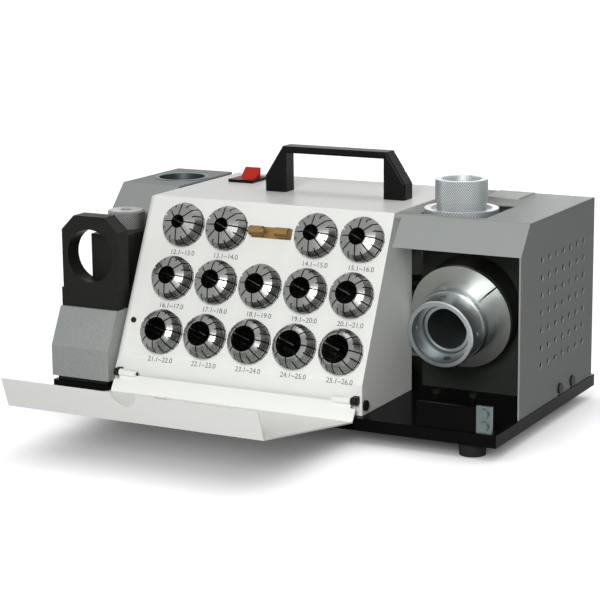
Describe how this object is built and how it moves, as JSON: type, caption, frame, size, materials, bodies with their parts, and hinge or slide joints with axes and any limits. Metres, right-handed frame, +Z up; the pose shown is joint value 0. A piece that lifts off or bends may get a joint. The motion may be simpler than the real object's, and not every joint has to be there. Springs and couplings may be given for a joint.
{
  "type": "drill bit sharpener",
  "caption": "Bench drill grinder with a sloping rack of collets, fold-down lid, carrying handle, chuck ports over two wheels and a setting station.",
  "frame": {"origin": "on the table under the middle of the machine's outline with its lid folded open", "axes": "+X to the operator's right along the base, +Y to the back, +Z up"},
  "size_m": [0.452, 0.412, 0.2363],
  "materials": {
    "black_paint": "gloss black enamel",
    "white_paint": "semi-gloss white powder coat",
    "grey_paint": "satin grey powder coat",
    "cast_grey": "grey paint on a rough casting",
    "black_oxide": "black oxide",
    "bright_steel": "ground steel",
    "zinc": "bright zinc plate",
    "brass": "plain brass",
    "black_rubber": "matt",
    "black_plastic": "satin",
    "red_plastic": "gloss",
    "black_screw": "black oxide",
    "abrasive": "bonded grit"
  },
  "bodies": {
    "machine": {"base_plate": "black_paint", "rubber_feet": "black_rubber", "foot_screws": "black_screw", "main_cover": "white_paint", "collet_panel": "white_paint", "collet_rack": "white_paint", "hinge_brackets": "black_oxide", "ball_catch": "brass", "carry_handle": "black_paint", "handle_screws": "black_screw", "switch_bezel": "black_plastic", "right_cover": "grey_paint", "rating_plate": "zinc", "left_rear_cover": "grey_paint", "rear_port_sleeve": "zinc", "pedestal_spacer": "black_oxide", "setting_pedestal": "cast_grey", "setting_base_block": "black_oxide", "setting_ring_block": "black_oxide", "setting_post": "black_oxide", "port_bulkhead": "black_paint", "front_port_body": "black_oxide", "front_port_disc": "bright_steel", "top_port_plate": "black_paint", "motor_cradle": "black_paint", "motor_housing": "grey_paint", "motor_bearings": "bright_steel", "power_inlet": "black_plastic", "chip_guard": "black_paint", "guard_clip": "zinc", "base_bolts": "black_screw", "cover_screws": "black_screw"},
    "lid_door": {"lid": "white_paint", "lid_strike": "brass"},
    "rocker": {"switch_rocker": "red_plastic"},
    "knob": {"setting_knob": "zinc"},
    "chuck": {"front_chuck_sleeve": "zinc"},
    "chuck_nut": {"front_chuck_nut": "zinc"},
    "port_ring": {"top_port_ring": "zinc"},
    "port_sleeve": {"top_port_sleeve": "zinc"},
    "spindle": {"motor_shaft": "bright_steel", "motor_rotor": "bright_steel", "grinding_wheel_right": "abrasive", "grinding_wheel_left": "abrasive"},
    "ball_left": {"catch_ball_left": "bright_steel"},
    "ball_right": {"catch_ball_right": "bright_steel"},
    "collet_13_body": {"collet_13": "bright_steel"},
    "collet_14_body": {"collet_14": "bright_steel"},
    "collet_15_body": {"collet_15": "bright_steel"},
    "collet_16_body": {"collet_16": "bright_steel"},
    "collet_17_body": {"collet_17": "bright_steel"},
    "collet_18_body": {"collet_18": "bright_steel"},
    "collet_19_body": {"collet_19": "bright_steel"},
    "collet_20_body": {"collet_20": "bright_steel"},
    "collet_21_body": {"collet_21": "bright_steel"},
    "collet_22_body": {"collet_22": "bright_steel"},
    "collet_23_body": {"collet_23": "bright_steel"},
    "collet_24_body": {"collet_24": "bright_steel"},
    "collet_25_body": {"collet_25": "bright_steel"},
    "collet_26_body": {"collet_26": "bright_steel"}
  },
  "joints": [
    {"name": "lid_hinge", "type": "hinge", "parent": "machine", "child": "lid_door", "pos_m": [-0.032, -0.031, 0.037], "axis": [1, 0, 0], "range_deg": [-104, 0]},
    {"name": "switch_tilt", "type": "hinge", "parent": "machine", "child": "rocker", "pos_m": [-0.1185, 0.156, 0.188], "axis": [1, 0, 0], "range_deg": [-10, 0]},
    {"name": "setting_knob_turn", "type": "hinge", "parent": "machine", "child": "knob", "pos_m": [-0.192, 0.048, 0.158], "axis": [0, 0, 1], "continuous": true},
    {"name": "chuck_slide", "type": "slide", "parent": "machine", "child": "chuck", "axis": [0, -0.9877, -0.1564], "range_m": [0, 0.06]},
    {"name": "chuck_nut_turn", "type": "hinge", "parent": "chuck", "child": "chuck_nut", "pos_m": [0.1452, 0.05132, 0.09313], "axis": [0, -0.9877, -0.1564], "continuous": true},
    {"name": "port_ring_turn", "type": "hinge", "parent": "port_sleeve", "child": "port_ring", "pos_m": [0.1383, 0.09, 0.172], "axis": [0, 0, 1], "range_deg": [-60, 60]},
    {"name": "port_sleeve_lift", "type": "slide", "parent": "machine", "child": "port_sleeve", "axis": [0, 0, 1], "range_m": [0, 0.05]},
    {"name": "spindle_spin", "type": "hinge", "parent": "machine", "child": "spindle", "pos_m": [0, 0.149, 0.107], "axis": [1, 0, 0], "continuous": true},
    {"name": "catch_ball_left_slide", "type": "slide", "parent": "machine", "child": "ball_left", "axis": [1, 0, 0], "range_m": [-0.001, 0], "stiffness_N_per_m": 400},
    {"name": "catch_ball_right_slide", "type": "slide", "parent": "machine", "child": "ball_right", "axis": [-1, 0, 0], "range_m": [-0.001, 0], "stiffness_N_per_m": 400},
    {"name": "collet_13_slide", "type": "slide", "parent": "machine", "child": "collet_13_body", "axis": [0, -0.9063, 0.4226], "range_m": [0, 0.05]},
    {"name": "collet_14_slide", "type": "slide", "parent": "machine", "child": "collet_14_body", "axis": [0, -0.9063, 0.4226], "range_m": [0, 0.05]},
    {"name": "collet_15_slide", "type": "slide", "parent": "machine", "child": "collet_15_body", "axis": [0, -0.9063, 0.4226], "range_m": [0, 0.05]},
    {"name": "collet_16_slide", "type": "slide", "parent": "machine", "child": "collet_16_body", "axis": [0, -0.9063, 0.4226], "range_m": [0, 0.05]},
    {"name": "collet_17_slide", "type": "slide", "parent": "machine", "child": "collet_17_body", "axis": [0, -0.9063, 0.4226], "range_m": [0, 0.05]},
    {"name": "collet_18_slide", "type": "slide", "parent": "machine", "child": "collet_18_body", "axis": [0, -0.9063, 0.4226], "range_m": [0, 0.05]},
    {"name": "collet_19_slide", "type": "slide", "parent": "machine", "child": "collet_19_body", "axis": [0, -0.9063, 0.4226], "range_m": [0, 0.05]},
    {"name": "collet_20_slide", "type": "slide", "parent": "machine", "child": "collet_20_body", "axis": [0, -0.9063, 0.4226], "range_m": [0, 0.05]},
    {"name": "collet_21_slide", "type": "slide", "parent": "machine", "child": "collet_21_body", "axis": [0, -0.9063, 0.4226], "range_m": [0, 0.05]},
    {"name": "collet_22_slide", "type": "slide", "parent": "machine", "child": "collet_22_body", "axis": [0, -0.9063, 0.4226], "range_m": [0, 0.05]},
    {"name": "collet_23_slide", "type": "slide", "parent": "machine", "child": "collet_23_body", "axis": [0, -0.9063, 0.4226], "range_m": [0, 0.05]},
    {"name": "collet_24_slide", "type": "slide", "parent": "machine", "child": "collet_24_body", "axis": [0, -0.9063, 0.4226], "range_m": [0, 0.05]},
    {"name": "collet_25_slide", "type": "slide", "parent": "machine", "child": "collet_25_body", "axis": [0, -0.9063, 0.4226], "range_m": [0, 0.05]},
    {"name": "collet_26_slide", "type": "slide", "parent": "machine", "child": "collet_26_body", "axis": [0, -0.9063, 0.4226], "range_m": [0, 0.05]}
  ]
}
